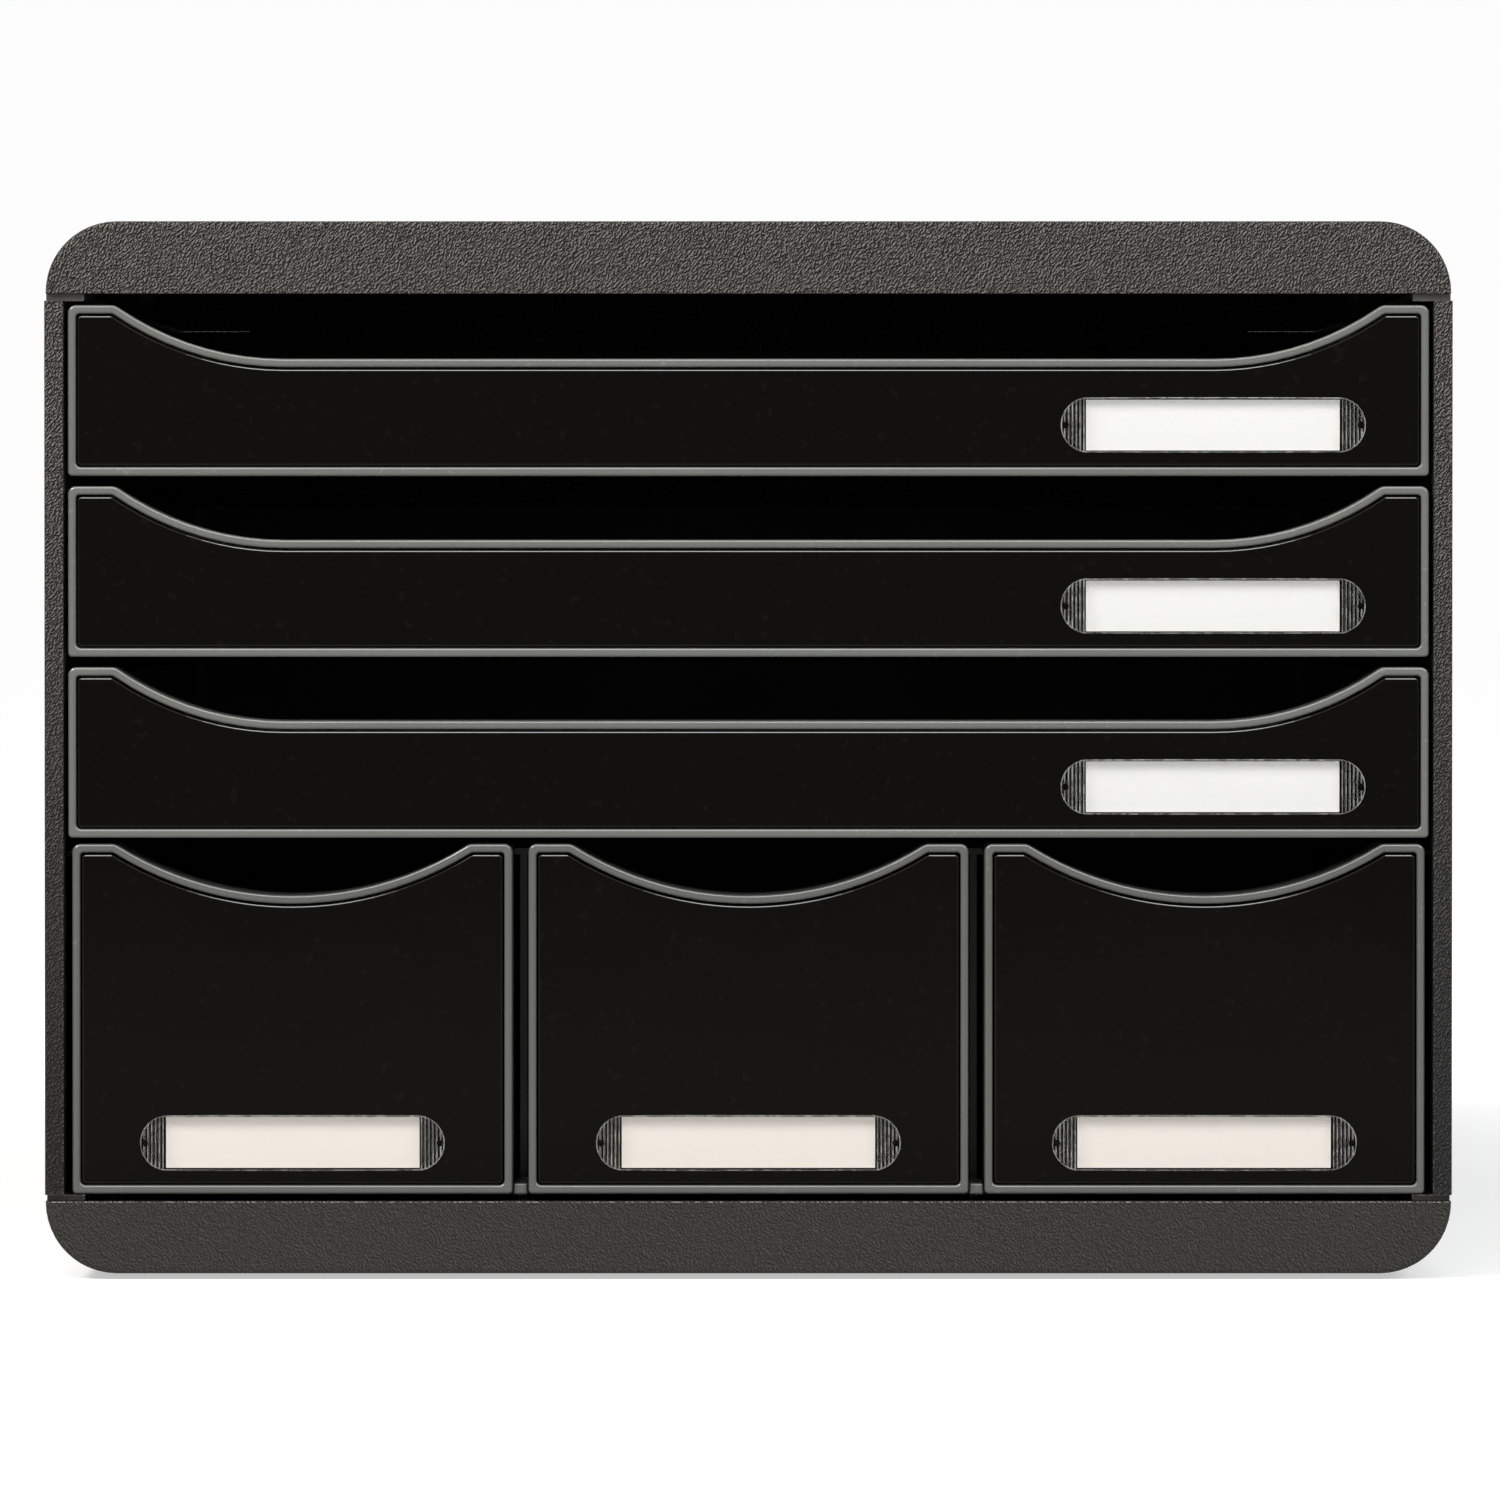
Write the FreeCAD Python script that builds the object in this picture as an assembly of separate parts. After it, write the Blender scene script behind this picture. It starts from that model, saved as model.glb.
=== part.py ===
import FreeCAD, Part
import math
import os

# Desktop drawer set: a moulded housing of two covers, two side panels, a back panel, a shelf and
# two dividers. It holds three wide drawers above three narrow ones that are two rows high.
# All sizes are in millimetres. X runs to the right, Y to the back and Z up.
# The origin is on the surface that the feet stand on, under the middle of the housing.

os.makedirs("parts", exist_ok=True)

V = FreeCAD.Vector

# Housing
overall_width = 355.0
overall_depth = 270.0
foot_height = 1.5
foot_diameter = 15.0
foot_recess = 0.8
foot_round = 0.6
foot_side_inset = 40.0
foot_end_inset = 28.0

# Top and base covers, the same shell, the base one upside down
cover_height = 18.2
cover_wall = 2.6
cover_edge_land = 0.2
cover_step_in = 0.3
base_step_in = 0.1
cover_end_round = 1.2
cover_boss_wall = 1.6
cover_rib_height = 7.0
cover_rib_thickness = 1.6
cover_rib_place_shares = (-0.66, -0.22, 0.22, 0.66)

# Pegs that join the side panels to the covers
peg_diameter = 4.0
peg_length = 8.0
peg_gap = 0.15
peg_end_gap = 0.5
peg_inset = 6.2
peg_place_shares = (-0.84, 0.0, 0.80)

# Side panels
panel_wall = 2.5
panel_edge = 4.7
panel_front_return = 8.0
panel_rear_return = 4.0
panel_edge_round = 0.6
flange_thickness = 1.9
foot_flange_thickness = 1.7
flange_beyond_edge = 5.3
flange_set_in = 0.5
flange_set_back = 0.8
fit_gap = 0.2

# Runners, guides and stops
slide_gap = 0.3
runner_beyond_edge = 5.5
runner_thickness = 2.0
runner_side_gap = 0.8
guide_gap = 0.6
guide_thickness = 1.6
guide_overlap = 1.2
stop_drop = 5.0
stop_length = 3.0
stop_beyond_wall = 4.0
stop_lug_width = 6.0
stop_lug_length = 4.0
stop_lug_reach = 1.6
stop_slot_gap = 0.5
closed_stop_depth = 3.0
closed_stop_height = 6.0
closed_stop_width = 30.0
closed_stop_lift = 8.0
closed_stop_place_share = 0.6

# Back panel
back_thickness = 2.0
back_tongue_rise = 6.0
back_tongue_inset = 27.0
back_bead_width = 3.0
back_bead_depth = 0.8
back_bead_end_inset = 14.0
back_bead_place_shares = (0.2, 0.4, 0.6, 0.8)

# Shelf and dividers of the small drawers
shelf_thickness = 2.3
shelf_front_gap = 0.4
shelf_side_post_inset = 5.0
divider_thickness = 1.8
divider_front_set_back = 23.0
divider_tab_length = 20.0
divider_tab_short = 0.2
divider_tab_place_shares = (0.12, 0.5, 0.88)
divider_rear_tab_height = 30.0
divider_rear_tab_lift = 25.0
shelf_post_thickness = 2.0

# Spaces between the drawer fronts and round them
large_count = 3
small_count = 3
large_side_gap = 1.2
large_row_gap = 2.65
large_head_gap = 1.05
small_side_gap = 2.2
small_between_gap = 4.1
small_head_gap = 1.6
front_foot_gap = 0.25
front_set_back = 0.5

# Large drawer fronts
large_front_height = 43.0
large_front_depth = 10.5
large_shoulder = 11.9
large_scoop_drop = 13.5
large_scoop_radius = 73.8
large_floor_lift = 2.7
large_rim_drop = 3.0
large_label_inset = 54.4
large_travel = 190.0

# Small drawer fronts
small_front_height = 88.3
small_front_depth = 15.0
small_shoulder = 10.8
small_scoop_drop = 13.0
small_rim_drop = 4.4
small_box_set_in = 2.6
small_travel = 180.0

# What all drawer fronts share
rim_side = 2.0
rim_top = 2.1
rim_foot = 2.2
rim_round = 0.8
frame_head_corner = 2.0
frame_scoop_corner = 3.0
frame_foot_corner = 1.0
recess_head_corner = 0.9
recess_scoop_corner = 1.0
recess_foot_corner = 1.3
reveal_side = 0.35
reveal_top = 0.5
reveal_foot = 0.3

# Trays behind the fronts
tray_wall = 1.8
tray_floor = 1.8
tray_lip_thickness = 1.8
tray_lip_set_in = 0.3
tray_inner_corner = 4.0
tray_floor_corner = 2.0

# Glossy inserts in the fronts
insert_set_back = 0.2
insert_face = 2.0
insert_skirt = 1.5
insert_round = 0.7
insert_corner = 1.1
insert_inner_corner = 0.5
insert_peg_diameter = 3.6
insert_peg_gap = 0.15
insert_peg_short = 0.2
insert_peg_inset = 8.0
insert_peg_lift = 9.0
insert_peg_drop = 11.0

# Label windows and cards
label_lift = 12.8
window_length = 77.2
window_height = 14.0
window_depth = 2.1
window_proud = 0.1
window_gap = 0.12
window_bevel = 0.35
window_backing = 1.2
card_length = 64.0
card_height = 12.8
card_thickness = 0.4
card_gap = 0.1
grip_count = 5
grip_pitch = 0.97
grip_width = 0.45
grip_depth = 0.35
grip_from_card = 0.6
notch_diameter = 2.4

# How far a cutting shape runs past what it cuts
overrun = 1.0

# Levels, from the surface upwards
base_bottom = foot_height
base_top = base_bottom + cover_height
shelf_bottom = base_top
shelf_top = shelf_bottom + shelf_thickness
small_foot = base_top + foot_flange_thickness + front_foot_gap
small_head = small_foot + small_front_height
large_pitch = large_front_height + large_row_gap
large_feet = [small_head + small_head_gap + row * large_pitch for row in range(large_count)]
panel_top = large_feet[-1] + large_front_height + large_head_gap + flange_thickness
small_floor_level = shelf_top + slide_gap
small_rim_level = small_head - small_rim_drop
small_guide_level = small_rim_level + guide_gap

# Places across the housing
half_width = overall_width / 2
half_depth = overall_depth / 2
opening_half = half_width - panel_edge
flange_inner = opening_half - flange_beyond_edge
runner_inner = opening_half - runner_beyond_edge
large_half = opening_half - large_side_gap
large_box_half = runner_inner - runner_side_gap
lip_half_large = large_half - tray_lip_set_in
small_room = 2 * (opening_half - small_side_gap) - (small_count - 1) * small_between_gap
small_half = small_room / small_count / 2
small_pitch = 2 * small_half + small_between_gap
small_places = [(column - (small_count - 1) / 2) * small_pitch for column in range(small_count)]
divider_places = [(a + b) / 2 for a, b in zip(small_places, small_places[1:])]
small_box_half = small_half - small_box_set_in
lip_half_small = small_half - tray_lip_set_in

# Places from the front to the back
front_face = -half_depth + front_set_back
back_panel_rear = half_depth - panel_rear_return - fit_gap
back_panel_front = back_panel_rear - back_thickness
groove_front = back_panel_front - fit_gap
groove_rib_front = groove_front - panel_wall
tray_rear = back_panel_front - closed_stop_depth - slide_gap
shelf_front = front_face + small_front_depth + shelf_front_gap
runner_front = front_face + large_front_depth + slide_gap
small_guide_front = front_face + small_front_depth + slide_gap
divider_front = front_face + divider_front_set_back
divider_rear = back_panel_front - slide_gap
stop_block_rear = tray_rear - stop_length - large_travel - slide_gap
stop_slot_front = tray_rear - stop_lug_length - small_travel - slide_gap


def box(x0, x1, y0, y1, z0, z1):
    """A block between two corners."""
    return Part.makeBox(x1 - x0, y1 - y0, z1 - z0, V(x0, y0, z0))


def rod_up(radius, x, y, z0, z1):
    """An upright round rod."""
    return Part.makeCylinder(radius, z1 - z0, V(x, y, z0), V(0, 0, 1))


def rod_back(radius, x, z, y0, y1):
    """A round rod that runs from the front to the back."""
    return Part.makeCylinder(radius, y1 - y0, V(x, y0, z), V(0, 1, 0))


def mirrored(shape):
    """The same shape on the other side of the middle."""
    return shape.mirror(V(0, 0, 0), V(1, 0, 0))


def joined(first, others):
    """One solid made of shapes that touch."""
    return first.fuse(others).removeSplitter()


def edges_at(shape, y):
    """The edges that lie wholly in the upright plane at this depth."""
    return [e for e in shape.Edges if e.BoundBox.YLength < fit_gap / 2 and abs(e.BoundBox.Center.y - y) < fit_gap / 2]


def save(shape, node):
    """Write one node's file."""
    solids = shape.Solids
    result = solids[0] if len(solids) == 1 else Part.makeCompound(solids)
    result.exportStep("parts/" + node + ".step")
    print(node, len(solids), "solid(s), volume", round(result.Volume))


def arc_point(x, z, radius, degrees):
    angle = math.radians(degrees)
    return V(x + radius * math.cos(angle), 0, z + radius * math.sin(angle))


def arc(x, z, radius, start, end):
    """An arc in the front plane, between two angles in degrees."""
    middle = (start + end) / 2
    points = [arc_point(x, z, radius, degrees) for degrees in (start, middle, end)]
    return Part.Arc(*points).toShape()


def line(x0, z0, x1, z1):
    return Part.makeLine(V(x0, 0, z0), V(x1, 0, z1))


def thick(edges, y0, y1):
    """The closed outline of these edges, made into a solid between two depths."""
    wire = Part.Wire(Part.__sortEdges__(edges))
    face = Part.Face(wire)
    face.translate(V(0, y0, 0))
    return face.extrude(V(0, y1 - y0, 0))


class Front:
    """A drawer front's outline: its scooped head, seen from the front, on its own centre and foot."""

    def __init__(self, half, height, shoulder, drop, radius):
        self.half = half
        self.height = height
        chord_half = half - shoulder
        self.radius = radius or (chord_half ** 2 + drop ** 2) / (2 * drop)
        self.scoop_z = height - drop + self.radius
        self.scoop_x = chord_half - math.sqrt(self.radius ** 2 - (self.radius - drop) ** 2)

    def outline(self, side, top, foot, head_corner, scoop_corner, foot_corner):
        """Edges of the front's outline, moved inwards by the given widths."""
        half = self.half - side
        head = self.height - top
        radius = self.radius + top
        level = head - scoop_corner
        reach = radius + scoop_corner
        corner_x = -self.scoop_x - math.sqrt(reach ** 2 - (self.scoop_z - level) ** 2)
        lean = math.degrees(math.atan2(self.scoop_z - level, -self.scoop_x - corner_x))
        left = [
            line(0, foot, -half + foot_corner, foot),
            arc(-half + foot_corner, foot + foot_corner, foot_corner, 270, 180),
            line(-half, foot + foot_corner, -half, head - head_corner),
            arc(-half + head_corner, head - head_corner, head_corner, 180, 90),
            line(-half + head_corner, head, corner_x, head),
            arc(corner_x, level, scoop_corner, 90, lean),
            arc(-self.scoop_x, self.scoop_z, radius, lean + 180, 270),
        ]
        if self.scoop_x > fit_gap:
            left.append(line(-self.scoop_x, self.scoop_z - radius, 0, self.scoop_z - radius))
        return left + [mirrored(edge) for edge in left]


large_front = Front(large_half, large_front_height, large_shoulder, large_scoop_drop, large_scoop_radius)
small_front = Front(small_half, small_front_height, small_shoulder, small_scoop_drop, None)


def cover_block(step_in, side, end, head, low):
    """A cover's outer form, or its hollow, with quarter-round corners, its open edge at zero."""
    half = half_width - step_in - side
    top = cover_height - head
    corner = cover_height - cover_edge_land - side
    edges = [
        line(half, low, -half, low),
        line(-half, low, -half, top - corner),
        arc(-half + corner, top - corner, corner, 180, 90),
        line(-half + corner, top, half - corner, top),
        arc(half - corner, top - corner, corner, 90, 0),
        line(half, top - corner, half, low),
    ]
    return thick(edges, -half_depth + end, half_depth - end)


def cover_shell(step_in):
    """The shell of both covers, open below, its open edge at zero."""
    outer = cover_block(step_in, 0, 0, 0, 0)
    ends = edges_at(outer, -half_depth) + edges_at(outer, half_depth)
    rounded = outer.makeFillet(cover_end_round, [e for e in ends if e.BoundBox.ZMax > cover_edge_land / 2])
    shell = rounded.cut(cover_block(step_in, cover_wall, cover_wall, cover_wall, -overrun))
    roof = cover_height - cover_wall / 2
    extras = []
    for share in cover_rib_place_shares:
        x = share * half_width
        rib_foot = cover_height - cover_wall - cover_rib_height
        extras.append(box(x - cover_rib_thickness / 2, x + cover_rib_thickness / 2,
                          -half_depth + cover_wall, groove_front, rib_foot, roof))
    boss_radius = peg_diameter / 2 + peg_gap + cover_boss_wall
    bores = []
    for side in (-1, 1):
        for share in peg_place_shares:
            x = side * (half_width - peg_inset)
            y = share * half_depth
            extras.append(rod_up(boss_radius, x, y, 0, roof).common(rounded))
            bores.append(rod_up(peg_diameter / 2 + peg_gap, x, y, -overrun, peg_length + peg_end_gap))
    return joined(shell, extras).cut(bores)


def top_cover():
    shell = cover_shell(cover_step_in)
    shell.translate(V(0, 0, panel_top))
    return shell


def foot_places():
    x = half_width - foot_side_inset
    y = half_depth - foot_end_inset
    return [(sx * x, sy * y) for sx in (-1, 1) for sy in (-1, 1)]


def base_cover():
    """The cover upside down, with posts that carry the shelf and seats for the feet."""
    shell = cover_shell(base_step_in).mirror(V(0, 0, 0), V(0, 0, 1))
    shell.translate(V(0, 0, base_top))
    side_post = flange_inner - shelf_side_post_inset
    posts = [box(x - shelf_post_thickness / 2, x + shelf_post_thickness / 2, shelf_front, groove_front,
                 base_bottom + cover_wall / 2, shelf_bottom) for x in [-side_post, side_post] + divider_places]
    seats = [rod_up(foot_diameter / 2 + fit_gap, x, y, base_bottom - overrun, base_bottom + foot_recess)
             for x, y in foot_places()]
    return joined(shell, posts).cut(seats)


def rubber_feet():
    feet = []
    for x, y in foot_places():
        foot = rod_up(foot_diameter / 2, x, y, 0, base_bottom + foot_recess)
        sole = [e for e in foot.Edges if e.BoundBox.ZMax < fit_gap / 2]
        feet.append(foot.makeFillet(foot_round, sole))
    return Part.makeCompound(feet)


def runner_and_guide(foot):
    """What carries one large drawer on the right side panel, and its stop block."""
    wall = half_width - panel_wall / 2
    rim = foot + large_front_height - large_rim_drop
    top = rim - tray_lip_thickness - slide_gap
    under = top - runner_thickness
    guide = rim + guide_gap
    guide_inner = lip_half_large - guide_overlap
    return [
        box(runner_inner, wall, runner_front, groove_front, under, top),
        box(guide_inner, wall, runner_front, groove_front, guide, guide + guide_thickness),
        box(runner_inner, wall, stop_block_rear - stop_length, stop_block_rear, under - stop_drop, top),
    ]


def right_side_panel():
    """The wall with its edge returns, end flanges, pegs, runners and guides."""
    low = base_top
    high = panel_top
    neck_low = low + foot_flange_thickness
    neck_high = high - flange_thickness
    inner = half_width - panel_wall
    neck = half_width - flange_set_in
    wall = box(inner, half_width, -half_depth, half_depth, neck_low, neck_high)
    outer_edges = [e for e in wall.Edges if e.BoundBox.ZLength > panel_edge and e.BoundBox.XMin > inner + fit_gap]
    wall = wall.makeFillet(panel_edge_round, outer_edges)
    flange_front = -half_depth + flange_set_back
    pieces = [
        box(inner, neck, flange_front, half_depth, low, high),
        box(opening_half, neck, flange_front, -half_depth + panel_front_return, low, high),
        box(opening_half, neck, -half_depth, -half_depth + panel_front_return, neck_low, neck_high),
        box(opening_half, neck, half_depth - panel_rear_return, half_depth, low, high),
        box(opening_half, neck, groove_rib_front, groove_front, low, high),
    ]
    for z, thickness in ((low, foot_flange_thickness), (neck_high, flange_thickness)):
        pieces.append(box(flange_inner, neck, flange_front, groove_front, z, z + thickness))
    for share in peg_place_shares:
        x = half_width - peg_inset
        y = share * half_depth
        pieces.append(rod_up(peg_diameter / 2, x, y, low - peg_length, low + foot_flange_thickness / 2))
        pieces.append(rod_up(peg_diameter / 2, x, y, high - flange_thickness / 2, high + peg_length))
    for foot in large_feet:
        pieces.extend(runner_and_guide(foot))
    small_lip = small_places[-1] + lip_half_small
    pieces.append(box(small_lip - guide_overlap, half_width - panel_wall / 2, small_guide_front, groove_front,
                      small_guide_level, small_guide_level + guide_thickness))
    return joined(wall, pieces)


def divider_rear_tab_levels():
    low = shelf_top + divider_rear_tab_lift
    return low, low + divider_rear_tab_height


def back_panel():
    """A plate held in the side panels' grooves, with tongues that reach into the covers."""
    half = half_width - panel_wall - fit_gap
    plate = box(-half, half, back_panel_front, back_panel_rear, base_top + fit_gap, panel_top - fit_gap)
    tongue_half = half - back_tongue_inset
    pieces = [box(-tongue_half, tongue_half, back_panel_front, back_panel_rear,
                  base_top - back_tongue_rise, panel_top + back_tongue_rise)]
    stop_front = back_panel_front - closed_stop_depth
    stops = [(side * closed_stop_place_share * large_box_half, foot + large_floor_lift)
             for foot in large_feet for side in (-1, 1)]
    stops += [(x, small_floor_level) for x in small_places]
    for x, floor in stops:
        low = floor + closed_stop_lift
        pieces.append(box(x - closed_stop_width / 2, x + closed_stop_width / 2,
                          stop_front, back_panel_front + back_thickness / 2, low, low + closed_stop_height))
    for share in back_bead_place_shares:
        z = base_top + share * (panel_top - base_top)
        pieces.append(box(-opening_half + back_bead_end_inset, opening_half - back_bead_end_inset,
                          back_panel_rear - back_thickness / 2, back_panel_rear + back_bead_depth,
                          z - back_bead_width / 2, z + back_bead_width / 2))
    low, high = divider_rear_tab_levels()
    slot_half = divider_thickness / 2 + fit_gap
    slots = [box(x - slot_half, x + slot_half, back_panel_front - overrun, back_panel_rear + overrun,
                 low - fit_gap, high + fit_gap) for x in divider_places]
    return joined(plate, pieces).cut(slots)


def divider_tab_places():
    length = divider_rear - divider_front
    return [divider_front + share * length for share in divider_tab_place_shares]


def small_drawer_shelf():
    """The plate that the small drawers stand on, slotted for the dividers and the drawers' stops."""
    half = flange_inner - fit_gap
    plate = box(-half, half, shelf_front, divider_rear, shelf_bottom, shelf_top)
    low = shelf_bottom - overrun
    high = shelf_top + overrun
    slots = []
    for x in divider_places:
        for y in divider_tab_places():
            slots.append(box(x - divider_thickness / 2 - fit_gap, x + divider_thickness / 2 + fit_gap,
                             y - divider_tab_length / 2 - fit_gap, y + divider_tab_length / 2 + fit_gap,
                             low, high))
    for x in small_places:
        slots.append(box(x - stop_lug_width / 2 - stop_slot_gap, x + stop_lug_width / 2 + stop_slot_gap,
                         stop_slot_front, tray_rear + stop_slot_gap, low, high))
    return plate.cut(slots)


def divider(x):
    """A T-shaped partition: its web keeps the small drawers apart, its head holds them down."""
    head = small_guide_level + guide_thickness
    web_half = divider_thickness / 2
    head_half = small_between_gap / 2 + tray_lip_set_in + guide_overlap
    web = box(x - web_half, x + web_half, divider_front, divider_rear, shelf_top, head)
    low, high = divider_rear_tab_levels()
    pieces = [
        box(x - head_half, x + head_half, divider_front, divider_rear, small_guide_level, head),
        box(x - web_half, x + web_half, divider_rear - overrun, back_panel_rear - divider_tab_short, low, high),
    ]
    for y in divider_tab_places():
        pieces.append(box(x - web_half, x + web_half, y - divider_tab_length / 2, y + divider_tab_length / 2,
                          shelf_bottom + divider_tab_short, shelf_top + overrun))
    return joined(web, pieces)


def insert_peg_places(front):
    x = front.half - insert_peg_inset
    return [(side * x, z) for side in (-1, 1) for z in (insert_peg_lift, front.height - insert_peg_drop)]


def tray(front, depth, box_half, lip_half, rim, floor):
    """A tray with its front frame in one piece, on its own centre and foot."""
    wall_front = front_face + depth - tray_wall
    inside = front_face + depth
    frame = thick(front.outline(0, 0, 0, frame_head_corner, frame_scoop_corner, frame_foot_corner),
                  front_face, inside)
    recess = thick(front.outline(rim_side, rim_top, rim_foot,
                                 recess_head_corner, recess_scoop_corner, recess_foot_corner),
                   front_face - overrun, wall_front)
    frame = frame.cut(recess)
    frame = frame.makeFillet(rim_round, edges_at(frame, front_face))
    shell = box(-box_half, box_half, inside, tray_rear, floor, rim)
    lips = box(-lip_half, lip_half, inside, tray_rear, rim - tray_lip_thickness, rim)
    hollow = box(-box_half + tray_wall, box_half - tray_wall, inside, tray_rear - tray_wall,
                 floor + tray_floor, front.height + overrun)
    corners = [e for e in hollow.Edges if e.BoundBox.ZLength > tray_inner_corner]
    hollow = hollow.makeFillet(tray_inner_corner, corners)
    floor_edges = [e for e in hollow.Edges if e.BoundBox.ZMax < floor + tray_floor + fit_gap]
    hollow = hollow.makeFillet(tray_floor_corner, floor_edges)
    holes = [rod_back(insert_peg_diameter / 2 + insert_peg_gap, x, z, wall_front - overrun, inside + overrun)
             for x, z in insert_peg_places(front)]
    return joined(frame, [shell, lips]).cut([hollow] + holes)


def large_tray():
    """A large tray with the ribs at its rear that meet the side panels' stop blocks."""
    rim = large_front_height - large_rim_drop
    shape = tray(large_front, large_front_depth, large_box_half, lip_half_large, rim, large_floor_lift)
    high = rim - tray_lip_thickness - slide_gap - runner_thickness - guide_gap
    low = high - stop_drop
    outer = large_box_half + stop_beyond_wall
    rib = box(large_box_half - tray_wall / 2, outer, tray_rear - stop_length, tray_rear, low, high)
    return joined(shape, [rib, mirrored(rib)])


def small_tray():
    """A small tray with a lug under its rear edge that runs in the shelf's slot."""
    rim = small_rim_level - small_foot
    floor = small_floor_level - small_foot
    shape = tray(small_front, small_front_depth, small_box_half, lip_half_small, rim, floor)
    lug = box(-stop_lug_width / 2, stop_lug_width / 2, tray_rear - stop_lug_length, tray_rear,
              floor - slide_gap - stop_lug_reach, floor + tray_floor / 2)
    return joined(shape, [lug])


def stadium(x, z, length, height, y0, y1):
    """A plate with round ends."""
    reach = length / 2 - height / 2
    radius = height / 2
    edges = [
        line(x - reach, z + radius, x + reach, z + radius),
        arc(x + reach, z, radius, 90, -90),
        line(x + reach, z - radius, x - reach, z - radius),
        arc(x - reach, z, radius, 270, 90),
    ]
    return thick(edges, y0, y1)


def insert(front, depth, label_x):
    """A glossy hollow panel with pegs at its back and a pocket for the label window."""
    face = front_face + insert_set_back
    seat = front_face + depth - tray_wall
    widths = (rim_side + reveal_side, rim_top + reveal_top, rim_foot + reveal_foot)
    block = thick(front.outline(*widths, insert_corner, insert_corner, insert_corner), face, seat)
    block = block.makeFillet(insert_round, edges_at(block, face))
    inner_widths = [width + insert_skirt for width in widths]
    hollow = thick(front.outline(*inner_widths, insert_inner_corner, insert_inner_corner, insert_inner_corner),
                   face + insert_face, seat + overrun)
    shell = block.cut(hollow)
    pocket_rear = face - window_proud + window_depth
    length = window_length + 2 * window_gap
    height = window_height + 2 * window_gap
    backing = stadium(label_x, label_lift, length + 2 * window_backing, height + 2 * window_backing,
                      face + insert_face / 2, pocket_rear + window_backing)
    pocket = stadium(label_x, label_lift, length, height, face - overrun, pocket_rear)
    pegs = [rod_back(insert_peg_diameter / 2, x, z, face + insert_face / 2,
                     front_face + depth - insert_peg_short) for x, z in insert_peg_places(front)]
    return joined(shell, [backing] + pegs).cut(pocket)


def label_window(label_x):
    """A clear snap-in window: hollow behind for the card, with grip grooves and notches at its ends."""
    face = front_face + insert_set_back - window_proud
    rear = face + window_depth
    block = stadium(label_x, label_lift, window_length, window_height, face, rear)
    block = block.makeChamfer(window_bevel, edges_at(block, face))
    half = card_length / 2 + card_gap
    cuts = [box(label_x - half, label_x + half, rear - card_thickness - card_gap, rear + overrun,
                label_lift - card_height / 2 - card_gap, label_lift + card_height / 2 + card_gap)]
    for side in (-1, 1):
        for index in range(grip_count):
            x = label_x + side * (half + grip_from_card + index * grip_pitch)
            cuts.append(box(x - grip_width / 2, x + grip_width / 2, face - overrun, face + grip_depth,
                            label_lift - window_height, label_lift + window_height))
        cuts.append(rod_back(notch_diameter / 2, label_x + side * window_length / 2, label_lift,
                             face - overrun, rear + overrun))
    return block.cut(cuts)


def label_card(label_x):
    rear = front_face + insert_set_back - window_proud + window_depth
    return box(label_x - card_length / 2, label_x + card_length / 2, rear - card_thickness, rear,
               label_lift - card_height / 2, label_lift + card_height / 2)


def save_drawers(names, places, pieces):
    """Write one set of drawers: each piece once for each place."""
    for name, place in zip(names, places):
        for piece, shape in pieces.items():
            moved = shape.copy()
            moved.translate(place)
            save(moved, name + "_" + piece)


save(top_cover(), "top_cover")
save(base_cover(), "base_cover")
save(rubber_feet(), "rubber_feet")
save(right_side_panel(), "right_side_panel")
save(mirrored(right_side_panel()), "left_side_panel")
save(back_panel(), "back_panel")
save(small_drawer_shelf(), "small_drawer_shelf")
for divider_name, divider_x in zip(("left_divider", "right_divider"), divider_places):
    save(divider(divider_x), divider_name)

large_label_x = large_half - large_label_inset
save_drawers(
    ("lower_drawer", "middle_drawer", "upper_drawer"),
    [V(0, 0, foot) for foot in large_feet],
    {
        "tray": large_tray(),
        "front_panel": insert(large_front, large_front_depth, large_label_x),
        "label_window": label_window(large_label_x),
        "label_card": label_card(large_label_x),
    },
)
save_drawers(
    ("left_small_drawer", "centre_small_drawer", "right_small_drawer"),
    [V(x, 0, small_foot) for x in small_places],
    {
        "tray": small_tray(),
        "front_panel": insert(small_front, small_front_depth, 0),
        "label_window": label_window(0),
        "label_card": label_card(0),
    },
)
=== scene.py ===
import math

import bmesh
import bpy
from bpy.props import FloatProperty, FloatVectorProperty, PointerProperty
from mathutils import Matrix, Vector


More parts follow.
